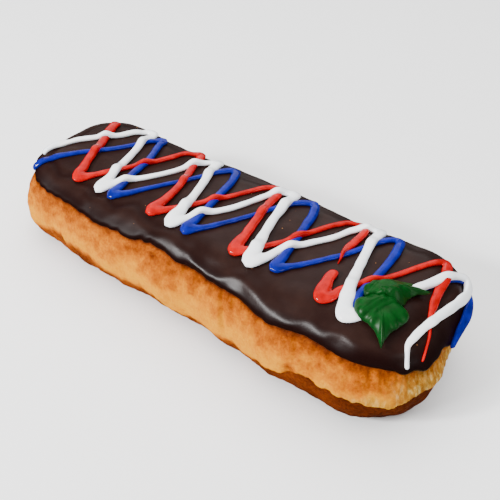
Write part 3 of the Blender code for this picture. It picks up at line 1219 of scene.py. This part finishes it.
WHITE_RUNS = (
    (
        (-75.6, -14.6, 1.5), (-74.9, -9.3, 1.6), (-71.5, -2.6, 1.45), (-66.5, 3.5, 1.35), (-61.6, 9.2, 1.35),
        (-58.4, 16, 1.4), (-55.5, 20, 1.6), (-52.6, 19.6, 1.8), (-50.8, 12.6, 1.6), (-47.2, 3, 1.5),
        (-44, -6.5, 1.65), (-42, -12, 2.1), (-40.8, -16.4, 2.5), (-37.8, -12.2, 1.7), (-34.8, -8, 1.3),
        (-31, -3.8, 1.25), (-26.4, 4.2, 1.25), (-23.8, 11.5, 1.35), (-20.6, 16.4, 1.5), (-17.4, 18.8, 1.8),
        (-15.6, 12.8, 1.7), (-12.6, 5, 1.5), (-10, -3.2, 1.55), (-8.4, -11, 2.1), (-7.4, -17, 2.6),
        (-4.6, -14.5, 1.8), (-2.4, -9, 1.25), (2.4, -3.2, 1.2), (6.4, 4.4, 1.2), (9.6, 13.4, 1.3),
        (12.6, 18, 1.5), (16, 19.4, 1.8), (17.2, 12, 1.7), (18.8, 3.6, 1.55), (21, -4.5, 1.7),
        (23.2, -11.5, 2.2), (24.8, -16.2, 2.6), (27.6, -12.8, 1.8), (29.5, -6, 1.25), (34, 0.2, 1.15),
        (39, 7.4, 1.15), (42, 15.4, 1.3), (45.4, 19.8, 1.5), (49.2, 20.8, 1.8), (50.4, 13, 1.65),
        (52.4, 3, 1.5), (54.9, -7.4, 1.75), (56.8, -13.2, 2.1), (59.2, -18, 2.3), (62.6, -17.2, 1.8),
        (65.5, -12, 1.25), (69.6, -2, 1.1), (72.8, 6.4, 1.1), (75.2, 13.6, 1.2), (78, 17, 1.3),
        (80.4, 14, 1.35), (80, 7, 1.25), (78.6, -1, 1.1), (77.6, -7, 1.0), (76.8, -13, 0.9),
        (76.6, -16.6, 0.72), (78.2, -18.6, 0.62), (79.8, -20.2, 0.6),
    ),
)
FRONT_OUTLINE = (
    (-162, 5.4), (-134, 6.3), (-112, 7.0), (-92, 6.8), (-78, 5.9), (-60, 5.4), (-38, 4.9), (-17, 5.6),
    (-6, 7.0), (0, 9.2), (7, 7.2), (28, 5.9), (51, 6.0), (72, 6.9), (90, 7.3), (102, 7.1), (113, 6.1),
    (140, 5.2), (162, 5.0),
)
BACK_OUTLINE = (
    (-157, 4.8), (-136, 3.3), (-93, 2.5), (-68, 4.2), (-61, 5.9), (-55, 6.7), (-41, 7.3), (-23, 7.7),
    (-9, 9.0), (-4, 10.4), (0, 13.9), (3, 12.4), (9, 11.9), (14, 11.8), (23, 11.2), (32, 9.7), (41, 7.7),
    (51, 5.6), (75, 4.0), (104, 3.3), (140, 3.6), (163, 4.3), (180, 4.6),
)


@dataclass
class Crumbs(Modelled):
    """Stray crumbs of crust that fell on the chocolate while it was wet."""

    name: str = "crumbs"
    count: int = 22
    seed: int = 7
    sizes: tuple[float, float] = (0.1, 0.2)
    corners: Pairs = ((-78, -24), (80, 22))

    def build(self, icing: Icing) -> bpy.types.Object:
        """Scatter small uneven grains over the chocolate.

        Args:
            icing: the chocolate that they sit in.

        Returns:
            The crumbs as one piece.
        """
        draw = np.random.default_rng(self.seed)
        joined = bmesh.new()
        rows = []
        for _ in range(self.count):
            size = draw.uniform(*self.sizes) * MM
            spot = draw.uniform(*self.corners) * MM
            grain = bmesh.new()
            bmesh.ops.create_icosphere(grain, subdivisions=1, radius=1)
            unit = positions(grain) * draw.uniform(0.7, 1.3, 3)
            plan = spot + unit[:, :2] * size
            rows.append(BAR.drape(plan, icing.surface(plan) + unit[:, 2] * size))
            absorb(joined, grain)
        piece = self.settle(joined, np.concatenate(rows), LooseCrumb().make())
        return piece


@dataclass(frozen=True)
class Studio:
    """A pale table, soft lights and the camera."""

    aim: tuple[float, float, float] = (11.22 * MM, 1.0 * MM, 18.0 * MM)
    azimuth: float = 37.33
    elevation: float = 40.76
    roll: float = 0.29
    distance: float = 221.85 * MM
    lens: float = 46.08
    sensor: float = 36.0
    nearest: float = 0.01
    table_reach: float = 6.0
    table_gap: float = 0.2 * MM
    room_strength: float = 0.12

    def floor(self) -> None:
        """A wide, nearly white table top just under the bar; the glossy icing mirrors the lamps only."""
        shape = bmesh.new()
        bmesh.ops.create_grid(shape, x_segments=1, y_segments=1, size=self.table_reach)
        bmesh.ops.translate(shape, verts=shape.verts, vec=(0, 0, -self.table_gap))
        mesh = bpy.data.meshes.new("table")
        shape.to_mesh(mesh)
        shape.free()
        mesh.materials.append(WhiteTable().make())
        table = bpy.data.objects.new("table", mesh)
        table.visible_glossy = False
        bpy.context.scene.collection.objects.link(table)

    def lamp(
        self,
        name: str,
        spot: tuple[float, float, float],
        size: tuple[float, float],
        power: float,
        mirrored: bool = True,
    ) -> None:
        """A soft light that faces the bar.

        Args:
            name: the light's name.
            spot: where it stands, in metres.
            size: its width and height, in metres.
            power: its power in watts.
            mirrored: whether glossy icing mirrors it.
        """
        light = bpy.data.lights.new(name, "AREA")
        light.shape = "RECTANGLE"
        light.size, light.size_y = size
        light.energy = power
        lamp = bpy.data.objects.new(name, light)
        lamp.visible_glossy = mirrored
        lamp.location = spot
        lamp.rotation_euler = (Vector((0, 0, 0.02)) - Vector(spot)).to_track_quat("-Z", "Y").to_euler()
        bpy.context.scene.collection.objects.link(lamp)

    def camera(self) -> None:
        """The camera at the photograph's angle."""
        turn = Matrix.Rotation(math.radians(self.azimuth), 4, "Z")
        turn = turn @ Matrix.Rotation(math.radians(90 - self.elevation), 4, "X")
        turn = turn @ Matrix.Rotation(math.radians(self.roll), 4, "Z")
        lens = bpy.data.cameras.new("camera")
        lens.lens = self.lens
        lens.sensor_width = self.sensor
        lens.clip_start = self.nearest
        seen = bpy.data.objects.new("camera", lens)
        back = turn.to_3x3() @ Vector((0, 0, 1))
        seen.matrix_world = Matrix.Translation(Vector(self.aim) + back * self.distance) @ turn
        bpy.context.scene.collection.objects.link(seen)
        bpy.context.scene.camera = seen

    def light(self) -> None:
        """The room and its lamps.

        A small key and a spark stand at the left front, for the highlights. A wide lamp overhead, which
        nothing mirrors, gives the even light. A wide one behind and a small one on the right lift the
        shadows.
        """
        world = bpy.data.worlds.new("pale_room")
        world.use_nodes = True
        background = world.node_tree.nodes["Background"]
        background.inputs["Color"].default_value = srgb("FFFFFF")
        background.inputs["Strength"].default_value = self.room_strength
        bpy.context.scene.world = world
        self.lamp("key", (-0.33, -0.69, 0.47), (0.31, 0.12), 10.0)
        self.lamp("spark", (-0.4, -0.66, 0.5), (0.08, 0.08), 6.0)
        self.lamp("top", (0.0, 0.1, 1.0), (1.6, 1.6), 27.5, mirrored=False)
        self.lamp("back", (-0.55, 0.72, 0.78), (1.4, 1.4), 8.0)
        self.lamp("fill", (0.75, -0.2, 0.35), (0.3, 0.3), 1.6)

    def build(self) -> None:
        """Set the table, the lights and the camera."""
        self.floor()
        self.light()
        self.camera()


def main() -> None:
    """Build the doughnut's pieces in order, from the crust up, and report each one."""
    Studio().build()
    icing = Icing()
    blue = PipedLine("blue_line", LineColour.BLUE, BLUE_RUNS)
    red = PipedLine("red_line", LineColour.RED, RED_RUNS)
    white = PipedLine("white_line", LineColour.WHITE, WHITE_RUNS)
    front = PipedLeaf("piped_leaf_front", "leaf_front", (66.9, -13.6), -58.6, FRONT_OUTLINE)
    back = PipedLeaf(
        "piped_leaf_back", "leaf_back", (63.5, -7.5), 40.1, BACK_OUTLINE, flap=(1.4, -36.0, 24.0),
        lifted=(1.2, -82.0, 15.0), ribs=7.0, stand=0.7, rib_depth=0.16,
    )
    pieces = [
        Crust().build(icing),
        icing.build(),
        blue.build(icing, []),
        red.build(icing, [blue]),
        white.build(icing, [blue, red]),
        front.build(icing, [blue, red, white]),
        back.build(icing, [blue, red, white]),
        Crumbs().build(icing),
    ]
    for piece in pieces:
        LOG.info("%s: %d faces", piece.name, len(piece.data.polygons))


if __name__ == "__main__":
    logging.basicConfig(level=logging.INFO)
    main()
